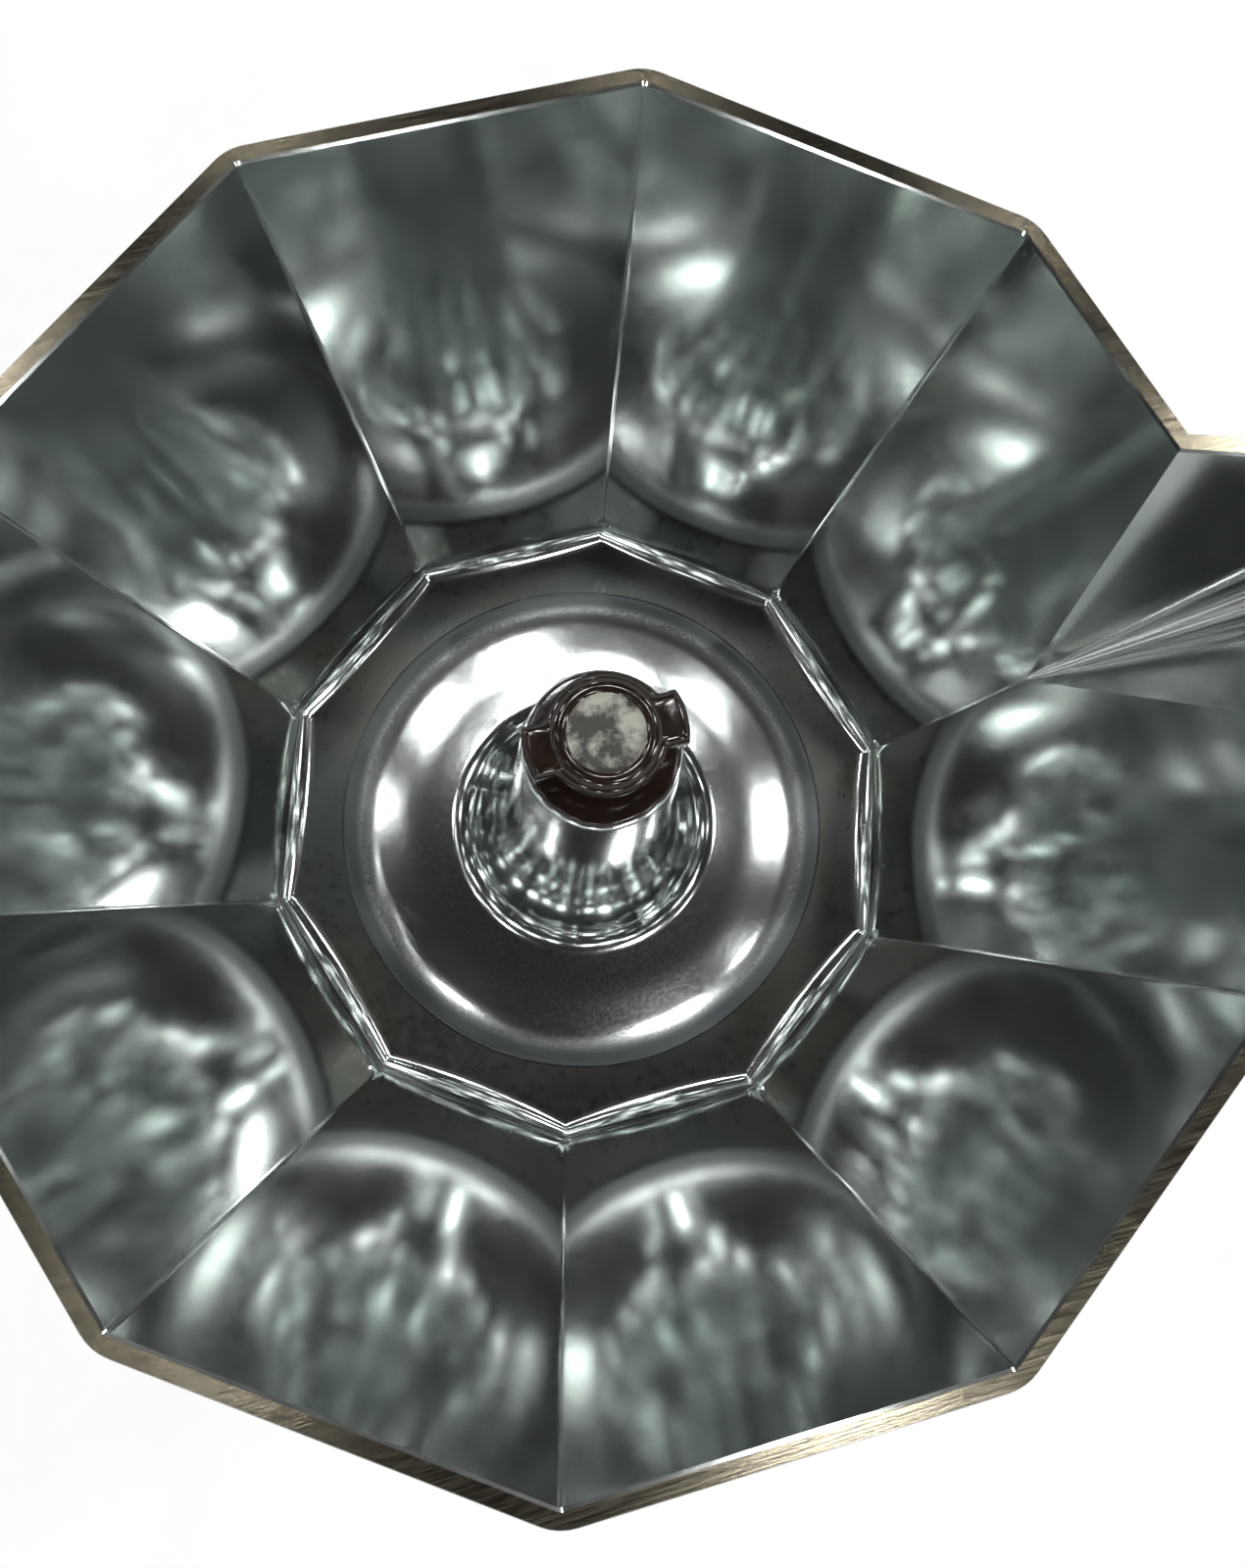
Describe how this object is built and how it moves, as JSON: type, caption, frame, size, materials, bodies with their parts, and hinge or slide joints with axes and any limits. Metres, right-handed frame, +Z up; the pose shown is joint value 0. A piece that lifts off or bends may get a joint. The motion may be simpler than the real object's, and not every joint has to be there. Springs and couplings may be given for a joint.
{
  "type": "moka pot",
  "caption": "Stove-top moka pot with a faceted aluminium boiler and collector, funnel, filter and gasket, safety valve, hinged lid, knob and side handle.",
  "frame": {"origin": "on the pot's axis at the flat underside of the boiler", "axes": "+Z up along the pot's axis; +X along the spout; -X towards the handle and the lid's hinge"},
  "size_m": [0.2038, 0.1186, 0.3519],
  "materials": {
    "cast_aluminium": "polished cast aluminium",
    "pressed_aluminium": "satin pressed aluminium",
    "brass": "machined brass",
    "fibre": "red fibre washer",
    "steel": "bright steel",
    "seal_rubber": "black rubber",
    "gasket_rubber": "off-white silicone rubber",
    "phenolic": "glossy black-brown phenolic",
    "cap_phenolic": "glossy dark brown, worn matt on top"
  },
  "bodies": {
    "boiler": {"boiler": "cast_aluminium", "valve_body": "brass", "valve_washer": "fibre", "valve_retainer": "brass", "valve_spring": "steel"},
    "valve_plunger": {"valve_plunger": "brass", "valve_seal": "seal_rubber"},
    "funnel": {"funnel": "pressed_aluminium", "funnel_plate": "pressed_aluminium"},
    "seals": {"gasket": "gasket_rubber", "filter_plate": "pressed_aluminium"},
    "collector": {"collector": "cast_aluminium", "column_cap": "cap_phenolic", "hinge_pin": "steel", "handle": "phenolic", "handle_pin": "steel"},
    "lid": {"lid": "cast_aluminium", "knob": "phenolic", "knob_insert": "brass", "knob_washer": "steel", "knob_screw": "steel"}
  },
  "joints": [
    {"name": "top_lift_off", "type": "slide", "parent": "boiler", "child": "funnel", "axis": [0, 0, 1], "range_m": [0, 0.115]},
    {"name": "collector_rise", "type": "slide", "parent": "funnel", "child": "seals", "axis": [0, 0, 1], "range_m": [0, 0.0081]},
    {"name": "collector_turn", "type": "hinge", "parent": "seals", "child": "collector", "pos_m": [0, 0, 0.1], "axis": [0, 0, 1], "range_deg": [0, 720]},
    {"name": "lid_hinge", "type": "hinge", "parent": "collector", "child": "lid", "pos_m": [-0.06749, 0, 0.1965], "axis": [0, 1, 0], "range_deg": [0, 100]},
    {"name": "valve_relief", "type": "slide", "parent": "boiler", "child": "valve_plunger", "axis": [0.5878, -0.809, 0], "range_m": [0, 0.002], "stiffness_N_per_m": 1500, "springref_m": -0.0033, "deforming": ["valve_spring"]}
  ],
  "couplings": [
    {"joint": "collector_rise", "follows": "collector_turn", "m_per_rad": 0.00063662}
  ]
}
